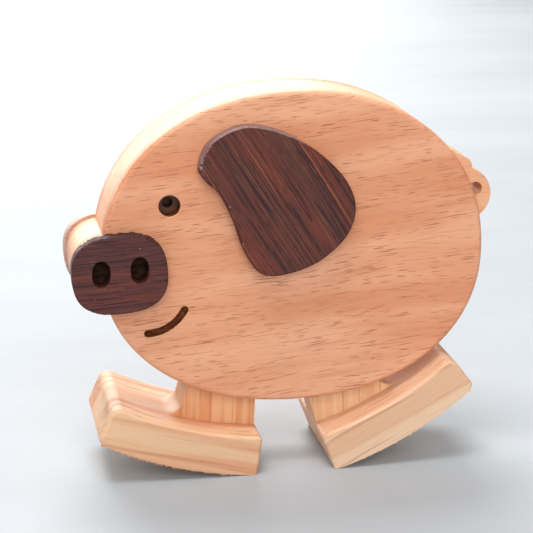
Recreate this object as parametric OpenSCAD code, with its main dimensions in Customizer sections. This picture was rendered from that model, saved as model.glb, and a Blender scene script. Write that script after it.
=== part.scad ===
// Two-legged wooden walking pig, a toy that waddles down a gentle ramp.
// The nose points to -X, the tail to +X, the left side faces -Y, and Z = 0 is the ground.
// The body is a core board between two side plates, and each leg swings on a hidden dowel.

/* [Body] */
// Length of the oval body, without snout and tail
body_len = 113; // [95:0.5:135]
// Height of the oval body
body_ht = 92.8; // [78:0.2:110]
// Fullness of the oval, where 2 is an ellipse and more is squarer
body_full = 2.16; // [2:0.02:2.4]
// Share by which the oval narrows towards its top
body_taper = 0.033; // [0:0.001:0.06]
// Height of the belly above the ground
belly_z = 20.4; // [18:0.2:24]
// Thickness of each side plate
side_t = 4.5; // [3.8:0.1:6]
// Thickness of the core board
core_t = 15; // [12:0.5:20]

/* [Face] */
// Half length of the snout plate
snout_a = 13.7; // [11:0.1:16]
// Half height of the snout plate
snout_b = 11.6; // [10:0.1:14]
// Thickness of each snout plate
snout_t = 4; // [3:0.25:6]
// How far the pale snout behind the plates is set in from their edge
snout_inset = 0.7; // [0.2:0.1:1.5]
// Width of a nostril
nostril_w = 5.2; // [4:0.1:6]
// Height of a nostril
nostril_h = 7.8; // [6.5:0.1:9]
// Distance between the two nostrils
nostril_gap = 11; // [9:0.5:13]
// Diameter of the eye
eye_d = 6.2; // [4:0.1:8]
// Diameter of the small drill hole at the bottom of the eye
eye_pilot_d = 3; // [2:0.25:3.5]
// Width of the smile groove
smile_w = 2.2; // [1.5:0.1:3]
// Depth of the smile groove
smile_deep = 2.4; // [1:0.1:3.2]

/* [Ears and tail] */
// Thickness of each ear
ear_t = 4; // [3:0.25:6]
// Scale of the ear's outline
ear_scale = 1; // [0.8:0.01:1.1]
// Radius of the curled part of the tail
tail_r = 8; // [7:0.1:9.5]
// Diameter of the hole in the tail
tail_hole_d = 4; // [3:0.25:5]

/* [Legs] */
// Length of a foot from heel to toe
foot_len = 48.7; // [40:0.1:56]
// Thickness of a foot from sole to top
foot_t = 12; // [9:0.5:14]
// Radius of the curved sole
sole_r = 116; // [90:1:160]
// Angle by which a foot's two end faces lean in
foot_lean = 8; // [2:1:14]
// Width of the block glued to each side of a foot
foot_side_w = 11; // [8:0.5:14]
// Height of the pivot over the straight line from heel to toe
leg_ht = 37; // [34:0.5:42]
// Distance of the pivot from the heel along that line
heel_back = 17; // [15:0.5:20]
// Radius of the round top end of a shank
shank_r = 8.4; // [7:0.1:9.5]
// Toe-up angle of the front foot as it stands
front_stance = 16; // [12:0.5:28]
// Toe-up angle of both feet at the outer stop, where the hind foot stands
stop_out = 29; // [26:0.5:32]
// Toe-up angle of both feet at the inner stop
stop_in = 8; // [7:0.5:11]

/* [Axles] */
// Diameter of an axle dowel
axle_d = 6; // [4:0.25:8]
// How deep each dowel end sits in its side plate
axle_seat = 2.5; // [1.5:0.25:3]
// Distance of the front pivot ahead of the body's centre
front_pivot_x = 18.5; // [16:0.25:22]
// Distance of the hind pivot behind the body's centre
hind_pivot_x = 8; // [7:0.25:12]

/* [Clearances] */
// Gap between a shank and each side plate
side_gap = 0.3; // [0.2:0.05:0.6]
// Radial gap between a dowel and the leg that swings on it
swing_gap = 0.25; // [0.15:0.05:0.5]
// Radial gap of a dowel in its glued seat
seat_gap = 0.05; // [0.02:0.01:0.1]
// Gap left between a shank and the wall of its slot at a stop
stop_gap = 0.5; // [0.3:0.1:1]

/* [Hidden] */
body_t = core_t + 2 * side_t;
shank_t = core_t - 2 * side_gap;
body_z = belly_z + body_ht / 2;
nostril_deep = 2;
nostril_full = 2.2;
pilot_deep = 5;
corner_r = 1.5;
toe_r = 3;
ankle_r = 4;
in_foot = 3;
shank_step = 2.4;
snout_c = [5 - body_len / 2, -3.9];
snout_full = 2.63;
snout_tilt = 4;
nostril_c = snout_c + [0.2, 0.7];
eye_c = snout_c + [14.9, 18.5];
smile_c = snout_c + [7.9, -6.8];
smile_r = 12.4;
smile_a0 = -89;
smile_a1 = -28;
tail_up = 13;
tail_in = 2.3;
tail_hole_at = [3.2, 1.6];
tail_stub = [[-21.8, 13], [-5.5, 14.2], [0.5, 11], [1.5, 10.2], [2, 8.9], [1.9, 5], [-21.8, 2]];
// How far a cutter sticks out past the face it starts from
over = 1;
// Tiny overlap that lets an arc and the edge it runs into cross cleanly
cross = 0.01;
ear_knots = [[-28.5, 25.9], [-25.6, 32.8], [-16.3, 37.5], [-5.5, 35.8], [5, 29.8], [13.5, 21.6],
             [17, 12.8], [14.4, 4.2], [6, -3.2], [-4, -6.5], [-11, -5.7], [-15.5, 0.8], [-18.6, 9.8],
             [-22.5, 17.8], [-26.5, 21.9]];
beech = "#dd9a72";
pale_beech = "#e8c9a2";
dark_wood = "#4b2a24";
pine = "#e3bd90";
$fn = 96;

// Sign of x to the power n, which keeps the sign
function spow(x, n) = sign(x) * pow(abs(x), n);

// Points of an oval with half axes a and b, fullness n, and a share e that it narrows at its top
function oval(a, b, n, e = 0, steps = 144) =
    [for (i = [0 : steps - 1]) let (t = 360 * i / steps, z = spow(sin(t), 2 / n))
        [a * spow(cos(t), 2 / n) * (1 - e * z), b * z]];

// Point of a smooth curve between p1 and p2, with their neighbours p0 and p3
function blend_pt(p0, p1, p2, p3, t) =
    0.5 * (2 * p1 + (p2 - p0) * t + (2 * p0 - 5 * p1 + 4 * p2 - p3) * t * t
        + (3 * p1 - p0 - 3 * p2 + p3) * t * t * t);

// Points of a smooth closed curve through the knots
function smooth_loop(k, steps = 6) =
    [for (i = [0 : len(k) - 1], j = [0 : steps - 1]) let (n = len(k))
        blend_pt(k[(i + n - 1) % n], k[i], k[(i + 1) % n], k[(i + 2) % n], j / steps)];

function turned(p, a) = [p[0] * cos(a) - p[1] * sin(a), p[0] * sin(a) + p[1] * cos(a)];

// The sole is an arc, which meets the line from heel to toe at sole_end and rises sole_sag below it
sole_end = asin(foot_len / 2 / sole_r);
sole_sag = sole_r * (1 - cos(sole_end));
sole_c = [foot_len / 2 - heel_back, sole_r - sole_sag - leg_ht];

// Centre of the rounded heel corner, in the leg's own frame
heel_c = [-heel_back, -leg_ht]
    + corner_r / sin((90 - foot_lean + sole_end) / 2)
    * [cos((90 - foot_lean - sole_end) / 2), sin((90 - foot_lean - sole_end) / 2)];

// Height of a pivot over the ground when its foot stands on the heel, toe up by the angle s
function pivot_z(s) = corner_r - heel_c[0] * sin(s) - heel_c[1] * cos(s);

snout_pts = [for (p = oval(snout_a, snout_b, snout_full)) snout_c + turned(p, snout_tilt)];
x_min = min([for (p = snout_pts) p[0]]);

// The tail curls round a centre just inside the oval's edge, at its own height
tail_level = tail_up / (body_ht / 2);
tail_edge = body_len / 2 * (1 - body_taper * tail_level)
    * pow(1 - pow(tail_level, body_full), 1 / body_full);
tail_c = [tail_edge - tail_in, tail_up];
x_max = tail_c[0] + tail_r;
body_x = -(x_min + x_max) / 2;

// Centre of the toe's rounded top corner, which touches the end face and the foot's top
toe_out = [cos(foot_lean), sin(foot_lean)];
toe_u = toe_out * ([foot_len - heel_back, -leg_ht] - sole_c) - toe_r;
toe_c = sole_c + toe_u * toe_out
    - sqrt(pow(sole_r - foot_t + toe_r, 2) - pow(toe_u, 2)) * [-sin(foot_lean), cos(foot_lean)];
toe_up = (sole_c - toe_c) / norm(sole_c - toe_c);

// A shank's heel edge runs from the foot's top at heel_edge to the round top end, and leans by shank_lean
heel_edge = [-heel_back + shank_step, foot_t - 0.5 - leg_ht];
shank_lean = atan2(-heel_edge[0], -heel_edge[1]) - asin(shank_r / norm(heel_edge));
heel_tangent = shank_r * [-cos(shank_lean), sin(shank_lean)];

// Centre of the ankle's hollow, which touches the toe edge and the foot's top
ankle_c = sole_c + [shank_r + ankle_r - sole_c[0],
    -sqrt(pow(sole_r - foot_t - ankle_r, 2) - pow(shank_r + ankle_r - sole_c[0], 2))];

// Stands a profile drawn in X and Z up as a slab of thickness t that starts at y
module slab(y, t) {
    translate([0, y + t, 0])
        rotate([90, 0, 0])
            linear_extrude(height = t)
                children();
}

// Moves a profile drawn round the body's centre to its place
module at_body() {
    translate([body_x, body_z])
        children();
}

// Turns a profile drawn on the left side to the other side when side is 1
module on_side(side) {
    if (side < 0) children();
    else mirror([0, 1, 0]) children();
}

module oval_profile() {
    polygon(oval(body_len / 2, body_ht / 2, body_full, body_taper));
}

module snout_profile(inset = 0) {
    translate(snout_c)
        rotate(snout_tilt)
            polygon(oval(snout_a - inset, snout_b - inset, snout_full));
}

// Outline that the core and both side plates share
module board_profile() {
    oval_profile();
    snout_profile(snout_inset);
}

module nostril_profile() {
    for (side = [-1, 1])
        translate(nostril_c + turned([side * nostril_gap / 2, 0], snout_tilt))
            polygon(oval(nostril_w / 2, nostril_h / 2, nostril_full, 0, 32));
}

module ear_profile() {
    scale(ear_scale)
        polygon(smooth_loop(ear_knots));
}

module smile_profile() {
    far = 2 * smile_r;
    translate(smile_c) {
        intersection() {
            difference() {
                circle(r = smile_r + smile_w / 2);
                circle(r = smile_r - smile_w / 2);
            }
            polygon([[0, 0], turned([far, 0], smile_a0), turned([far, 0], smile_a1)]);
        }
        for (a = [smile_a0, smile_a1])
            rotate(a)
                translate([smile_r, 0])
                    circle(r = smile_w / 2 + cross);
    }
}

// Leg profiles are drawn round the pivot, with the toe towards +X and the sole's line level
module toe_cut() {
    tip = 1.5 * toe_r;
    translate(toe_c)
        difference() {
            polygon([[0, 0], toe_r * toe_out, tip * (toe_out + toe_up), toe_r * toe_up]);
            circle(r = toe_r);
        }
}

module foot_profile() {
    half = foot_len / 2;
    far = foot_t * 1.5;
    in = far * tan(foot_lean);
    offset(r = corner_r)
        offset(delta = -corner_r)
            difference() {
                intersection() {
                    translate(sole_c)
                        difference() {
                            circle(r = sole_r, $fn = 360);
                            circle(r = sole_r - foot_t, $fn = 360);
                        }
                    translate([half - heel_back, -leg_ht])
                        polygon([[-half - in, -far], [half + in, -far],
                                 [half - in, far], [-half + in, far]]);
                }
                toe_cut();
            }
}

module shank_profile() {
    difference() {
        union() {
            circle(r = shank_r);
            polygon([[shank_r, 0], heel_tangent, heel_edge, heel_edge - [0, in_foot],
                     [ankle_c[0], ankle_c[1] - ankle_r - in_foot], ankle_c, [shank_r, ankle_c[1]]]);
        }
        translate(ankle_c)
            circle(r = ankle_r);
    }
}

// Places a leg profile: dir -1 is the front leg and 1 the hind leg, s its toe-up angle
module at_pivot(dir, s) {
    z = pivot_z(dir < 0 ? front_stance : stop_out);
    x = body_x + (dir < 0 ? -front_pivot_x : hind_pivot_x);
    translate([x, z])
        rotate(dir * s)
            mirror([dir < 0 ? 1 : 0, 0])
                children();
}

// Slot in the core, swept by a shank between its two stops
module slot_profile(dir) {
    reach = shank_r + stop_gap;
    wall = reach - cross;
    down = body_ht;
    heel_wall = wall * [-cos(shank_lean), sin(shank_lean)];
    at_pivot(dir, 0) {
        circle(r = reach);
        polygon([[0, 0], turned(heel_wall, stop_in),
                 turned(heel_wall - down * [sin(shank_lean), cos(shank_lean)], stop_in),
                 turned([wall, -down], stop_out), turned([wall, 0], stop_out)]);
    }
}

module axle_place(dir) {
    translate([body_x + (dir < 0 ? -front_pivot_x : hind_pivot_x), 0,
               pivot_z(dir < 0 ? front_stance : stop_out)])
        rotate([90, 0, 0])
            children();
}

// Cylinder of diameter d and length h across the body from y on, its centre at the point at
module drill(at, d, y, h) {
    translate([body_x + at[0], y + h, body_z + at[1]])
        rotate([90, 0, 0])
            cylinder(d = d, h = h);
}

module core_slab() {
    slab(-core_t / 2, core_t)
        at_body()
            children();
}

module core_board() {
    color(pale_beech)
        difference() {
            union() {
                core_slab()
                    board_profile();
                core_slab()
                    translate(tail_c)
                        circle(r = tail_r);
                core_slab()
                    translate(tail_c)
                        polygon(tail_stub);
            }
            for (dir = [-1, 1])
                slab(-core_t / 2 - over, core_t + 2 * over)
                    slot_profile(dir);
            drill(tail_c + tail_hole_at, tail_hole_d, -core_t / 2 - over, core_t + 2 * over);
            drill(eye_c, eye_pilot_d, -core_t / 2 - over, pilot_deep + over);
            drill(eye_c, eye_pilot_d, core_t / 2 - pilot_deep, pilot_deep + over);
        }
}

module side_plate(side) {
    color(beech)
        on_side(side)
            difference() {
                slab(-body_t / 2, side_t)
                    at_body()
                        board_profile();
                drill(eye_c, eye_d, -body_t / 2 - over, side_t + 2 * over);
                slab(-body_t / 2 - over, smile_deep + over)
                    at_body()
                        smile_profile();
                slab(-body_t / 2 - over, nostril_deep + over)
                    at_body()
                        nostril_profile();
                for (dir = [-1, 1])
                    axle_place(dir)
                        translate([0, 0, core_t / 2 - over])
                            cylinder(r = axle_d / 2 + seat_gap, h = axle_seat + over + seat_gap);
            }
}

module ear(side) {
    color(dark_wood)
        on_side(side)
            slab(-body_t / 2 - ear_t, ear_t)
                at_body()
                    ear_profile();
}

module snout_plate(side) {
    color(dark_wood)
        on_side(side)
            slab(-body_t / 2 - snout_t, snout_t)
                at_body()
                    difference() {
                        snout_profile();
                        nostril_profile();
                    }
}

module axle(dir) {
    color(pine)
        axle_place(dir)
            cylinder(d = axle_d, h = core_t + 2 * axle_seat, center = true);
}

module shank(dir, s) {
    color(pine)
        difference() {
            slab(-shank_t / 2, shank_t)
                at_pivot(dir, s) {
                    shank_profile();
                    foot_profile();
                }
            axle_place(dir)
                cylinder(r = axle_d / 2 + swing_gap, h = core_t + 2 * over, center = true);
        }
}

module foot_block(dir, s, side) {
    color(pine)
        on_side(side)
            slab(-shank_t / 2 - foot_side_w, foot_side_w)
                at_pivot(dir, s)
                    foot_profile();
}

core_board();
side_plate(-1);  // left_side_plate
side_plate(1);  // right_side_plate
ear(-1);  // left_ear
ear(1);  // right_ear
snout_plate(-1);  // left_snout_plate
snout_plate(1);  // right_snout_plate
axle(-1);  // front_axle
axle(1);  // hind_axle
shank(-1, front_stance);  // front_shank
foot_block(-1, front_stance, -1);  // front_foot_left
foot_block(-1, front_stance, 1);  // front_foot_right
shank(1, stop_out);  // hind_shank
foot_block(1, stop_out, -1);  // hind_foot_left
foot_block(1, stop_out, 1);  // hind_foot_right
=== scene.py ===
"""A wooden walking pig: sanded boards with rounded edges and real grain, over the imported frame.

The body is a core board between two side plates, with a dark ear and a dark snout plate on each side.
Two legs hang on hidden dowels, and each foot is a middle board between two side blocks.
"""
import math
import random

import bmesh
import bpy
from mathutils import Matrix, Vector
from mathutils.bvhtree import BVHTree


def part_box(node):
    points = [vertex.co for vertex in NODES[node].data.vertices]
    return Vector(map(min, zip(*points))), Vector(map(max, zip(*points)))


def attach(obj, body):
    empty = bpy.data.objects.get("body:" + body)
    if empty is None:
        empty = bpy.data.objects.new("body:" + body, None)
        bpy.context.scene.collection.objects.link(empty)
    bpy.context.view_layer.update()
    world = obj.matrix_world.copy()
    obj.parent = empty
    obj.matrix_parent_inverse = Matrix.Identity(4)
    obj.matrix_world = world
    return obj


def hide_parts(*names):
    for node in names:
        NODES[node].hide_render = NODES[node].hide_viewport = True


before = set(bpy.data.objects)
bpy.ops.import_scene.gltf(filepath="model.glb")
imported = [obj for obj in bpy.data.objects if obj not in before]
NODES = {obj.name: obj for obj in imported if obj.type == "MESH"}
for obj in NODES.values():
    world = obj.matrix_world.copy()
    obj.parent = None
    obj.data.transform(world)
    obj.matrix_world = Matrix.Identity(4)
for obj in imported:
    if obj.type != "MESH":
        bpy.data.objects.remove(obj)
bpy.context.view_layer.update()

MM = 0.001
SIDES = (("left", -1), ("right", 1))

# Radii of the rounded edges, in millimetres
CORE_ROUND = 0.25
RIM_ROUND = 1.4
LIP_ROUND = 0.35
EAR_ROUND = 0.75
SNOUT_ROUND = 0.35
SHANK_ROUND = 0.45
FOOT_ROUND = 1.1
FOOT_INNER_ROUND = 0.12

SHARP = math.radians(40)  # least bend of an edge that gets rounded
SMOOTH = math.radians(32)  # greatest bend that is shaded smooth
SAW_CUT_SLOPE = -0.72  # a face whose normal points further down than this is the sole
NEAR = 0.02 * MM  # closer than this counts as the same level
APART = 0.1 * MM  # further from the foot blocks than this, an edge of the shank is open

# Tolerances for joining a solid's triangles into whole faces
WELD = 0.02 * MM
COPLANAR = math.radians(0.4)
TINY_EDGE = 0.09 * MM
SLIVER = 0.01 * MM

FIBRES = {"front": 300, "hind": 120}  # torn fibres under each foot block
LONGEST_FIBRE = 0.9


# ---------------------------------------------------------------- materials

class Finish:
    """A material that is built one node per call."""

    def __init__(self, name):
        self.material = bpy.data.materials.new(name)
        self.material.use_nodes = True
        self.tree = self.material.node_tree
        self.tree.nodes.clear()

    def add(self, kind, inputs=(), **settings):
        node = self.tree.nodes.new("ShaderNode" + kind)
        for key, value in settings.items():
            setattr(node, key, value)
        for key, value in dict(inputs).items():
            if isinstance(value, bpy.types.NodeSocket):
                self.tree.links.new(value, node.inputs[key])
            else:
                node.inputs[key].default_value = value
        return node

    def math(self, operation, a, b):
        return self.add("Math", {0: a, 1: b}, operation=operation).outputs[0]

    def place(self, vector, scale=(1, 1, 1), turn=(0, 0, 0), shift=(0, 0, 0)):
        inputs = {"Vector": vector, "Location": shift, "Rotation": turn, "Scale": scale}
        return self.add("Mapping", inputs).outputs[0]

    def cloud(self, vector, detail, roughness=0.5):
        """Soft noise, a number about 0.5."""
        inputs = {"Vector": vector, "Scale": 1.0, "Detail": detail, "Roughness": roughness}
        return self.add("TexNoise", inputs).outputs[0]

    def step(self, value, low, high, out_low=0.0, out_high=1.0):
        """Smooth step of value from low to high."""
        inputs = {"Value": value, "From Min": low, "From Max": high, "To Min": out_low, "To Max": out_high}
        return self.add("MapRange", inputs, interpolation_type="SMOOTHSTEP").outputs[0]

    def blend(self, share, a, b):
        return self.add("Mix", {0: share, 6: a, 7: b}, data_type="RGBA").outputs[2]

    def round_spot(self, place, radius):
        """1 inside a circle round the place, as seen from the side, else 0. Both are in metres."""
        here = self.add("TexCoord").outputs["Object"]
        flat = self.place(here, scale=(1, 0, 1), shift=(-place.x, 0, -place.z))
        away = self.add("VectorMath", {0: flat}, operation="LENGTH").outputs["Value"]
        return self.step(away, radius + 0.05 * MM, radius - 0.05 * MM)

    def finish(self, colour, roughness, height, depth, **constants):
        """The wood shader, with a bump of that depth in millimetres."""
        bump = self.add("Bump", {"Height": height, "Strength": 1.0, "Distance": depth * MM})
        shader = self.add("BsdfPrincipled", {"Base Color": colour, "Roughness": roughness,
                                             "Normal": bump.outputs[0]})
        for key, value in constants.items():
            shader.inputs[key.replace("_", " ")].default_value = value
        self.add("OutputMaterial", {"Surface": shader.outputs[0]})
        return self.material


def rgb(red, green, blue):
    """A colour as a paint chart gives it, 0 to 255, as linear light."""
    return tuple(((c / 255 + 0.055) / 1.055) ** 2.4 if c > 10 else c / 255 / 12.92
                 for c in (red, green, blue)) + (1.0,)


def grain_space(look, angle, wander=1.0, shift=(0.0, 0.0, 0.0)):
    """Coordinates in millimetres with X along the grain, which rises by angle degrees towards the tail."""
    turned = look.place(look.add("TexCoord").outputs["Object"], scale=(1 / MM,) * 3,
                        turn=(0, math.radians(angle), 0), shift=shift)
    slow = look.add("TexNoise", {"Vector": look.place(turned, scale=(0.018, 0.05, 0.05)), "Scale": 1.0,
                                 "Detail": 1.0})
    centred = look.add("VectorMath", {0: slow.outputs[1], 1: (0.5, 0.5, 0.5)}, operation="SUBTRACT")
    sway = look.add("VectorMath", {0: centred.outputs[0], 1: (0.0, 6.0 * wander, 6.0 * wander)},
                    operation="MULTIPLY")
    return look.add("VectorMath", {0: turned, 1: sway.outputs[0]}, operation="ADD").outputs[0]


def beech(name, pale, warm, deep, fleck, angle, fleck_share=1.0, shift=(0.0, 0.0, 0.0), burns=()):
    """Steamed beech: soft broad bands with short thin flecks along the grain, scorched round the burns."""
    look = Finish(name)
    space = grain_space(look, angle, 0.8, shift)
    broad = look.cloud(look.place(space, (0.012, 0.07, 0.07)), 2.0, 0.5)
    narrow = look.cloud(look.place(space, (0.022, 0.42, 0.42)), 3.0, 0.6)
    fibre = look.cloud(look.place(space, (0.14, 3.4, 3.4)), 2.0, 0.6)
    colour = look.blend(look.step(broad, 0.36, 0.64), pale, warm)
    colour = look.blend(look.step(narrow, 0.46, 0.8, 0.0, 0.36), colour, deep)
    colour = look.blend(look.step(fibre, 0.4, 0.75, 0.0, 0.12), colour, deep)
    dash_a = look.step(look.cloud(look.place(space, (0.19, 1.4, 3.5)), 0.0), 0.68, 0.755)
    dash_b = look.step(look.cloud(look.place(space, (0.12, 1.2, 3.8), shift=(31, 17, 9)), 0.0),
                       0.70, 0.775)
    weak = look.cloud(look.place(space, (0.05, 0.25, 0.25), shift=(7, 3, 5)), 1.0)
    strength = look.step(weak, 0.34, 0.64, 0.35, 1.0)
    dash = look.math("MULTIPLY", look.math("MAXIMUM", dash_a, dash_b), strength)
    colour = look.blend(look.math("MULTIPLY", dash, fleck_share * 0.7), colour, fleck)
    for place, radius in burns:
        colour = look.blend(look.round_spot(place, radius), colour, rgb(98, 58, 36))
    height = look.math("SUBTRACT", look.math("MULTIPLY", fibre, 0.3), look.math("MULTIPLY", dash, 0.7))
    roughness = look.step(narrow, 0.2, 0.8, 0.44, 0.54)
    return look.finish(colour, roughness, height, 0.05, Specular_IOR_Level=0.5)


def drilled_hole_wood(name, brown, darker_tone):
    """The dark inside of a drilled or routed hole, two browns in soft patches; the eye and smile use it as
    a burn.
    """
    look = Finish(name)
    space = grain_space(look, 4)
    dark_patches = look.cloud(look.place(space, (0.4, 0.9, 0.9)), 3.0, 0.6)
    colour = look.blend(look.step(dark_patches, 0.35, 0.68), brown, darker_tone)
    return look.finish(colour, 0.85, dark_patches, 0.08, Specular_IOR_Level=0.05)


def dark_wood(name, angle, body, red, streak, line, wander=0.6, shift=(0.0, 0.0, 0.0), dust=0.0,
              matt=0.53):
    """Dark straight-grained wood: near-black lines between red and brown streaks, with open pores."""
    look = Finish(name)
    space = grain_space(look, angle, wander, shift)
    broad = look.cloud(look.place(space, (0.014, 0.16, 0.16)), 2.0, 0.5)
    streaks = look.cloud(look.place(space, (0.016, 1.7, 1.7)), 2.0, 0.55)
    lines = look.cloud(look.place(space, (0.024, 2.5, 2.5), shift=(4, 9, 2)), 2.0, 0.6)
    pores = look.cloud(look.place(space, (0.20, 3.2, 3.2), shift=(5, 11, 3)), 1.0)
    colour = look.blend(look.step(broad, 0.36, 0.64), body, red)
    colour = look.blend(look.step(streaks, 0.55, 0.72, 0.0, 0.75), colour, streak)
    colour = look.blend(look.step(lines, 0.52, 0.34, 0.0, 0.85), colour, line)
    pore = look.step(pores, 0.60, 0.70)
    colour = look.blend(look.math("MULTIPLY", pore, 0.55), colour, line)
    if dust:
        specks = look.cloud(look.place(space, (1.5, 2.4, 2.4), shift=(2, 6, 1)), 0.0)
        colour = look.blend(look.step(specks, 0.83, 0.88, 0.0, dust), colour, rgb(206, 158, 138))
    height = look.math("SUBTRACT", look.math("MULTIPLY", lines, 0.9), look.math("MULTIPLY", pore, 0.6))
    roughness = look.step(streaks, 0.3, 0.7, matt - 0.07, matt + 0.07)
    return look.finish(colour, roughness, height, 0.10, Specular_IOR_Level=0.35)


def leg_wood(name, angle, pale, mid, streak, band=0.16, shift=(0.0, 0.0, 0.0)):
    """Pale straight-grained wood, with wide soft growth bands and thin brown streaks."""
    look = Finish(name)
    space = grain_space(look, angle, 0.5, shift)
    bands = look.cloud(look.place(space, (0.006, band, band)), 1.0, 0.5)
    rings = look.cloud(look.place(space, (0.012, band * 4.5, band * 4.5), shift=(3, 8, 5)), 2.0, 0.5)
    fibre = look.cloud(look.place(space, (0.07, 3.0, 3.0)), 2.0, 0.6)
    mark = look.cloud(look.place(space, (0.07, 1.0, 1.6), shift=(9, 2, 14)), 1.0)
    colour = look.blend(look.step(bands, 0.44, 0.56), pale, mid)
    colour = look.blend(look.step(rings, 0.54, 0.68, 0.0, 0.58), colour, streak)
    colour = look.blend(look.step(fibre, 0.45, 0.8, 0.0, 0.22), colour, streak)
    colour = look.blend(look.step(mark, 0.66, 0.76, 0.0, 0.4), colour, rgb(190, 118, 74))
    height = look.math("ADD", look.math("MULTIPLY", fibre, 0.5), look.math("MULTIPLY", rings, 0.3))
    roughness = look.step(rings, 0.3, 0.7, 0.46, 0.58)
    return look.finish(colour, roughness, height, 0.05, Specular_IOR_Level=0.5)


def floor_paint():
    """Pale grey-blue painted table with faint brush marks."""
    look = Finish("pale_table_paint")
    where = look.place(look.add("TexCoord").outputs["Object"], scale=(1 / MM,) * 3)
    tone = look.cloud(look.place(where, (0.004, 0.01, 1)), 3.0, 0.6)
    brush = look.cloud(look.place(where, (0.02, 0.5, 1)), 2.0, 0.6)
    colour = look.blend(look.step(tone, 0.3, 0.7), rgb(170, 175, 179), rgb(177, 182, 186))
    return look.finish(colour, look.step(brush, 0.2, 0.8, 0.6, 0.7), brush, 0.02,
                       Specular_IOR_Level=0.12)


# ---------------------------------------------------------------- wood working

def blank(node):
    """A working copy of a node's solid, with its coplanar triangles joined into whole faces."""
    work = bmesh.new()
    work.from_mesh(NODES[node].data)
    bmesh.ops.remove_doubles(work, verts=work.verts, dist=WELD)
    bmesh.ops.dissolve_limit(work, angle_limit=COPLANAR, verts=work.verts, edges=work.edges,
                             use_dissolve_boundaries=False)
    bmesh.ops.remove_doubles(work, verts=work.verts, dist=TINY_EDGE)
    bmesh.ops.dissolve_degenerate(work, edges=work.edges, dist=SLIVER)
    return work


def arrises(work, where):
    """Sharp edges that pass the test, which gets the edge and its middle."""
    found = []
    for edge in work.edges:
        if len(edge.link_faces) != 2 or edge.calc_face_angle(0) < SHARP:
            continue
        middle = (edge.verts[0].co + edge.verts[1].co) / 2
        if where(edge, middle):
            found.append(edge)
    return found


def round_over(work, edges, radius, segments):
    """Rounds the edges to the radius, in millimetres."""
    bmesh.ops.bevel(work, geom=edges, offset=radius * MM, offset_type="OFFSET", segments=segments,
                    profile=0.5, affect="EDGES", clamp_overlap=False, material=-1, loop_slide=True)


def piece(name, work, materials, body, slot, *nodes):
    """Turns the worked solid into a piece that rides on its body and stands for its nodes."""
    mesh = bpy.data.meshes.new(name)
    bmesh.ops.recalc_face_normals(work, faces=work.faces)
    work.to_mesh(mesh)
    work.free()
    for material in materials:
        mesh.materials.append(material)
    mesh.shade_smooth()
    mesh.set_sharp_from_angle(angle=SMOOTH)
    made = bpy.data.objects.new(name, mesh)
    bpy.context.scene.collection.objects.link(made)
    even = made.modifiers.new("even_normals", "WEIGHTED_NORMAL")
    even.keep_sharp = True
    even.weight = 90
    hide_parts(*nodes)
    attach(made, body)


def in_plane(level):
    """Test for edges that lie at that level of Y."""
    return lambda edge, middle: all(abs(v.co.y - level) < NEAR for v in edge.verts)


def outline(edges):
    """The longest closed run among the edges."""
    left, runs = set(edges), []
    for first in edges:
        if first not in left:
            continue
        left.discard(first)
        run, ends = [first], list(first.verts)
        while ends:
            for edge in ends.pop().link_edges:
                if edge in left:
                    left.discard(edge)
                    run.append(edge)
                    ends.extend(edge.verts)
        runs.append(run)
    return max(runs, key=lambda run: sum(edge.calc_length() for edge in run))


def cut_walls(work, cuts):
    """Divides the long edges that run across the board, so that its wall can be roughened."""
    across = [e for e in work.edges if abs(e.verts[0].co.y - e.verts[1].co.y) > 2 * MM]
    bmesh.ops.subdivide_edges(work, edges=across, cuts=cuts, use_grid_fill=True)


def chip(work, level, where, amount, seed, depth=0.7):
    """Roughens the rim at that level of Y, where a place passes the test, by pulling it in a little.

    The depth is how far below the rim it reaches, in millimetres.
    """
    dice = random.Random(seed)
    centre = sum((v.co for v in work.verts), Vector()) / len(work.verts)
    for vert in work.verts:
        deep = abs(vert.co.y - level)
        if deep > depth * MM or not where(vert.co):
            continue
        inward = Vector((centre.x - vert.co.x, 0, centre.z - vert.co.z)).normalized()
        pull = amount * dice.random() ** 1.5
        vert.co += inward * pull
        if 0.02 * MM < deep < 1.2 * MM:
            vert.co.y -= math.copysign(0.4 * pull, level)


def fibres(work, edges, outer, count, longest, seed):
    """Torn fibres that hang from the saw-cut edges, each a thin spike rooted in the wood."""
    dice = random.Random(seed)
    inner = -math.copysign(1, outer)
    for _ in range(count):
        edge = dice.choice(edges)
        down = min((face.normal for face in edge.link_faces), key=lambda normal: normal.z)
        start = edge.verts[0].co.lerp(edge.verts[1].co, dice.random())
        along = (edge.verts[1].co - edge.verts[0].co).normalized()
        width = dice.uniform(0.16, 0.4) * MM
        inset = 0.7 * width + dice.uniform(0.04, 0.25) * MM
        root = start + Vector((0, inner * inset, 0)) - down * 0.5 * MM
        tip = start + down * dice.uniform(0.25, longest) * MM + along * dice.uniform(-0.35, 0.35) * MM
        tip.y = root.y
        tip.z = max(tip.z, 0.03 * MM)
        across = Vector((0, width * 0.7, 0))
        corners = [work.verts.new(root + along * width), work.verts.new(root - along * width + across),
                   work.verts.new(root - along * width - across), work.verts.new(tip)]
        for trio in ((0, 1, 2), (0, 1, 3), (1, 2, 3), (2, 0, 3)):
            work.faces.new([corners[i] for i in trio])


def levels(node, sign):
    """Levels of Y of a board's outer and inner face. The sign is -1 on the left and 1 on the right."""
    low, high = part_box(node)
    return (low.y, high.y) if sign < 0 else (high.y, low.y)


def saw_cut_edges(block, outer):
    """Edges between a foot block's outer face and its sawn sole."""
    return [edge for edge in arrises(block, in_plane(outer))
            if min(face.normal.z for face in edge.link_faces) < SAW_CUT_SLOPE]


def surface(node):
    """A tree for measuring the distance to a node's solid."""
    work = blank(node)
    tree = BVHTree.FromBMesh(work)
    work.free()
    return tree


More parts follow.
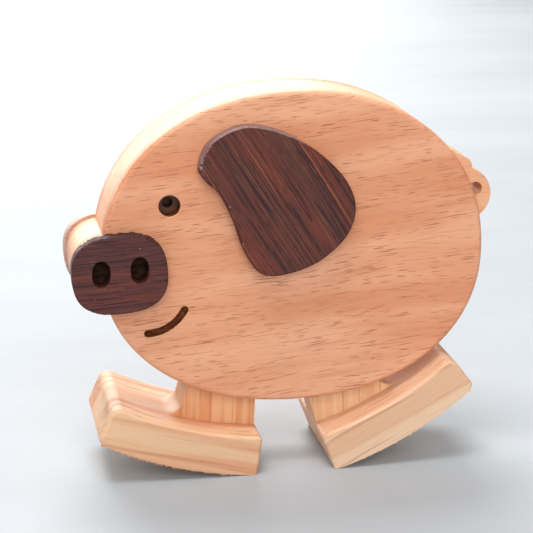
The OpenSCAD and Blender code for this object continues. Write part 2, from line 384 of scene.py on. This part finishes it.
def clear_of(trees, level):
    """Test for edges at that level of Y which do not meet any of the surfaces."""
    at_level = in_plane(level)

    def test(edge, middle):
        return at_level(edge, middle) and min(tree.find_nearest(middle)[3] for tree in trees) > APART

    return test


# ---------------------------------------------------------------- the pieces

SNOUT = sum((Vector(corner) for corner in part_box("left_snout_plate")), Vector()) / 2
EYE = SNOUT + Vector((14.9, 0, 18.5)) * MM
SMILE = SNOUT + Vector((7.9, 0, -6.8)) * MM
SMILE_RADIUS = 12.4 * MM
SMILE_LEFT, SMILE_TOP = 2 * MM, 4 * MM  # the groove starts this far left of and below its centre

# How far round its middle each hole is looked for
EYE_REACH = 3.5 * MM
SMILE_REACH = 1.5 * MM
NOSTRIL_REACH = 4.4 * MM
NOSTRIL_DARK_REACH = 5 * MM
NOSTRILS = [SNOUT + Vector((0.2 + side * 5.5, 0, 0.7 + side * 0.38)) * MM for side in (-1, 1)]


def flat_distance(a, b):
    return math.hypot(a.x - b.x, a.z - b.z)


def on_upper_edge(normal):
    """Whether a face with this normal is part of the ear's edge and looks up and forward, where the ear
    gets a painted highlight.
    """
    return abs(normal.y) < 0.97 and normal.z > 0 and normal.z - normal.x > 0.25


def in_hole(place):
    """Whether a place, as seen from the side, lies in the eye, the smile or a nostril."""
    below = place.x > SMILE.x - SMILE_LEFT and place.z < SMILE.z - SMILE_TOP
    in_smile = below and abs(flat_distance(place, SMILE) - SMILE_RADIUS) < SMILE_REACH
    return (flat_distance(place, EYE) < EYE_REACH or in_smile
            or any(flat_distance(place, nostril) < NOSTRIL_REACH for nostril in NOSTRILS))


BEECH = dict(pale=rgb(238, 174, 136), warm=rgb(223, 148, 106), deep=rgb(204, 120, 78),
             fleck=rgb(150, 66, 32))
side_beech = beech("side_beech", angle=5, **BEECH)
core_beech = beech("core_beech", pale=rgb(242, 194, 156), warm=rgb(237, 176, 134), deep=rgb(222, 150, 108),
                   fleck=rgb(176, 112, 76), angle=2, fleck_share=0.5, burns=[(EYE, 3.6 * MM)])
scorched = drilled_hole_wood("drilled_hole_wood", rgb(136, 78, 46), rgb(84, 44, 26))
# A near-black brown for the nostril floors, darker than the other holes.
nostril_dark = drilled_hole_wood("nostril_dark_wood", rgb(64, 42, 34), rgb(36, 24, 20))
ear_wood = dark_wood("ear_wood", angle=-58, body=rgb(92, 48, 40), red=rgb(110, 48, 38),
                     streak=rgb(152, 84, 50), line=rgb(30, 18, 18), wander=0.3)
snout_wood = dark_wood("snout_wood", angle=3, body=rgb(86, 43, 40), red=rgb(102, 46, 38),
                       streak=rgb(126, 60, 44), line=rgb(38, 22, 25), wander=0.35,
                       shift=(40, 0, 12), dust=0.7)
# A pale grey, glossier copy of the ear wood: a painted highlight for the ear's upper edge.
ear_painted_highlight = dark_wood("ear_painted_highlight", angle=-58, body=rgb(148, 120, 118), red=rgb(140, 106, 102),
                     streak=rgb(168, 142, 136), line=rgb(98, 74, 72), wander=0.3, matt=0.35)
snout_edge = dark_wood("snout_edge", angle=3, body=rgb(64, 38, 36), red=rgb(78, 42, 38),
                       streak=rgb(112, 66, 54), line=rgb(26, 17, 18), wander=0.35)
# A pale copy of the snout wood, painted as sheen on the far snout plate's rim.
far_rim_painted_sheen = dark_wood("far_rim_painted_sheen_wood", angle=3, body=rgb(214, 182, 164), red=rgb(204, 168, 150),
                    streak=rgb(222, 192, 176), line=rgb(180, 144, 128), wander=0.35)
LEG_TONES = dict(pale=rgb(234, 190, 150), mid=rgb(228, 172, 130), streak=rgb(200, 130, 86))
dowel_wood = leg_wood("dowel_wood", angle=0, **LEG_TONES)

core = blank("core_board")
face_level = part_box("core_board")[1].y
rims = [e for level in (face_level, -face_level) for e in arrises(core, in_plane(level))]
round_over(core, rims, CORE_ROUND, segments=2)
piece("core", core, [core_beech], "body", "core_beech", "core_board")

for side, sign in SIDES:
    outer, _ = levels(side + "_side_plate", sign)
    plate = blank(side + "_side_plate")
    rim = outline(arrises(plate, in_plane(outer)))
    round_over(plate, rim, RIM_ROUND, segments=5)
    at_face = in_plane(outer)
    lips = arrises(plate, lambda edge, middle: at_face(edge, middle) and in_hole(middle))
    round_over(plate, lips, LIP_ROUND, segments=3)
    for face in plate.faces:
        spots = [vert.co for vert in face.verts]
        if not all(in_hole(spot) for spot in spots):
            continue
        # The nostril floors are painted a near-black brown, darker than the wood round them.
        if min(flat_distance(spots[0], nostril) for nostril in NOSTRILS) < NOSTRIL_DARK_REACH:
            face.material_index = 2
        elif all(abs(spot.y) < abs(outer) - 0.3 * MM for spot in spots):
            face.material_index = 1
    piece(side + "_plate", plate, [side_beech, scorched, nostril_dark], "body", "side_beech",
          side + "_side_plate")

    ear_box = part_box(side + "_ear")
    outer, _ = levels(side + "_ear", sign)
    ear = blank(side + "_ear")
    bmesh.ops.subdivide_edges(ear, edges=arrises(ear, in_plane(outer)), cuts=2)
    round_over(ear, arrises(ear, in_plane(outer)), EAR_ROUND, segments=4)
    corner = Vector((ear_box[0].x, 0, (ear_box[0].z + ear_box[1].z) / 2))
    chip(ear, outer, lambda place: flat_distance(place, corner) < 17 * MM, amount=0.25 * MM, seed=5)
    # Edge faces that look up and forward get the pale copy of the ear wood, a painted highlight.
    for face in ear.faces:
        face.normal_update()
        if on_upper_edge(face.normal):
            face.material_index = 1
    piece(side + "_ear_board", ear, [ear_wood, ear_painted_highlight], "body", "dark_wood", side + "_ear")

    outer, _ = levels(side + "_snout_plate", sign)
    snout = blank(side + "_snout_plate")
    bmesh.ops.subdivide_edges(snout, edges=arrises(snout, in_plane(outer)), cuts=1)
    round_over(snout, arrises(snout, in_plane(outer)), SNOUT_ROUND, segments=3)
    if side == "left":
        cut_walls(snout, 5)
        chip(snout, outer, lambda place: place.z > SNOUT.z + 8 * MM, amount=0.6 * MM, seed=8,
             depth=9)
        chip(snout, outer, lambda place: place.z < SNOUT.z - 9 * MM, amount=0.25 * MM, seed=9)
    for face in snout.faces:
        face.normal_update()
        in_nose = all(in_hole(vert.co) for vert in face.verts)
        if face.normal.y * sign < 0.9 and not in_nose:
            face.material_index = 1
    # The far plate's rim faces get the pale copy of the snout wood, a painted sheen.
    edge_wood = snout_edge if side == "left" else far_rim_painted_sheen
    piece(side + "_snout_board", snout, [snout_wood, edge_wood], "body", "dark_wood", side + "_snout_plate")

FRONT_TONES = dict(pale=rgb(234, 192, 152), mid=rgb(226, 164, 126), streak=rgb(198, 128, 86))
HIND_TONES = dict(pale=rgb(240, 204, 170), mid=rgb(232, 186, 150), streak=rgb(198, 134, 92))
for end, body, lean, tones, shank_pale, shank_mid in (
        ("front", "front_leg", -15, FRONT_TONES, rgb(240, 186, 138), rgb(230, 164, 114)),
        ("hind", "hind_leg", 28, HIND_TONES, rgb(244, 206, 162), rgb(238, 188, 142))):
    flank_wood = leg_wood(end + "_flank_wood", angle=lean, shift=(0, 0, 5), **tones)
    upright = leg_wood(end + "_shank_wood", angle=90 + lean / 8, pale=shank_pale, mid=shank_mid,
                       streak=rgb(202, 130, 84), band=0.3)
    end_grain = leg_wood(end + "_end_grain", angle=lean, pale=rgb(240, 198, 160), mid=rgb(236, 186, 146),
                         streak=rgb(224, 168, 128), band=0.12)
    blocks = [surface(end + "_foot_" + side) for side, _ in SIDES]
    board = blank(end + "_shank")
    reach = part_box(end + "_shank")[1].y
    for level in (-reach, reach):
        round_over(board, arrises(board, clear_of(blocks, level)), SHANK_ROUND, segments=3)
    for face in board.faces:
        if abs(face.normal.y) < 0.6:
            face.material_index = 1
    piece(end + "_shank_board", board, [upright, end_grain], body, "leg_wood", end + "_shank")
    for side, sign in SIDES:
        node = end + "_foot_" + side
        outer, inner = levels(node, sign)
        block = blank(node)
        saw_cut = saw_cut_edges(block, outer)
        upper = [e for e in arrises(block, in_plane(outer)) if e not in saw_cut]
        round_over(block, upper, FOOT_ROUND, segments=5)
        fibres(block, saw_cut_edges(block, outer), outer, FIBRES[end], LONGEST_FIBRE, seed=11 + sign)
        round_over(block, arrises(block, in_plane(inner)), FOOT_INNER_ROUND, segments=2)
        piece(end + "_" + side + "_foot_block", block, [flank_wood], body, "leg_wood", node)

for node in ("front_axle", "hind_axle"):
    NODES[node].data.materials.clear()
    NODES[node].data.materials.append(dowel_wood)


# ---------------------------------------------------------------- table, light and camera

def table_top():
    mesh = bpy.data.meshes.new("table_top")
    work = bmesh.new()
    bmesh.ops.create_grid(work, x_segments=1, y_segments=1, size=6.0)
    work.to_mesh(mesh)
    work.free()
    mesh.materials.append(floor_paint())
    made = bpy.data.objects.new("table_top", mesh)
    bpy.context.scene.collection.objects.link(made)


def soft_box(name, place, aim, size, power, tint):
    """A square area light at place that shines at aim."""
    data = bpy.data.lights.new(name, "AREA")
    data.shape = "SQUARE"
    data.size = size
    data.energy = power
    data.color = tint
    lamp = bpy.data.objects.new(name, data)
    lamp.location = place
    lamp.rotation_mode = "QUATERNION"
    lamp.rotation_quaternion = (Vector(aim) - Vector(place)).to_track_quat("-Z", "Y")
    lamp.visible_camera = False
    bpy.context.scene.collection.objects.link(lamp)


table_top()
heart = (0, 0, 0.06)
DAYLIGHT = (1.0, 0.99, 0.98)
soft_box("window_light", (-0.08, 0.62, 1.15), heart, 0.6, 13.5, DAYLIGHT)
soft_box("low_window", (-0.08, 1.15, 0.34), heart, 0.8, 11.0, DAYLIGHT)
soft_box("sky_light", (-0.25, -0.25, 1.25), heart, 0.5, 9.0, DAYLIGHT)
soft_box("front_fill", (-0.12, -1.10, 0.65), heart, 1.0, 9.3, (1.0, 0.98, 0.96))

world = bpy.data.worlds.new("bright_room")
bpy.context.scene.world = world
world.use_nodes = True
backdrop = world.node_tree.nodes["Background"]
backdrop.inputs["Color"].default_value = rgb(236, 240, 246)
backdrop.inputs["Strength"].default_value = 0.30

LENS = 118.2
SENSOR = 36
STAND = (-0.0977, -0.4910, 0.2015)
LOOKING_DOWN = 15.948
TURNED_RIGHT = 10.8445

camera_data = bpy.data.cameras.new("camera")
camera_data.lens = LENS
camera_data.sensor_width = SENSOR
camera = bpy.data.objects.new("camera", camera_data)
camera.location = STAND
camera.rotation_euler = (math.radians(90 - LOOKING_DOWN), 0, math.radians(-TURNED_RIGHT))
bpy.context.scene.collection.objects.link(camera)
bpy.context.scene.camera = camera
bpy.context.scene.view_settings.view_transform = "Standard"
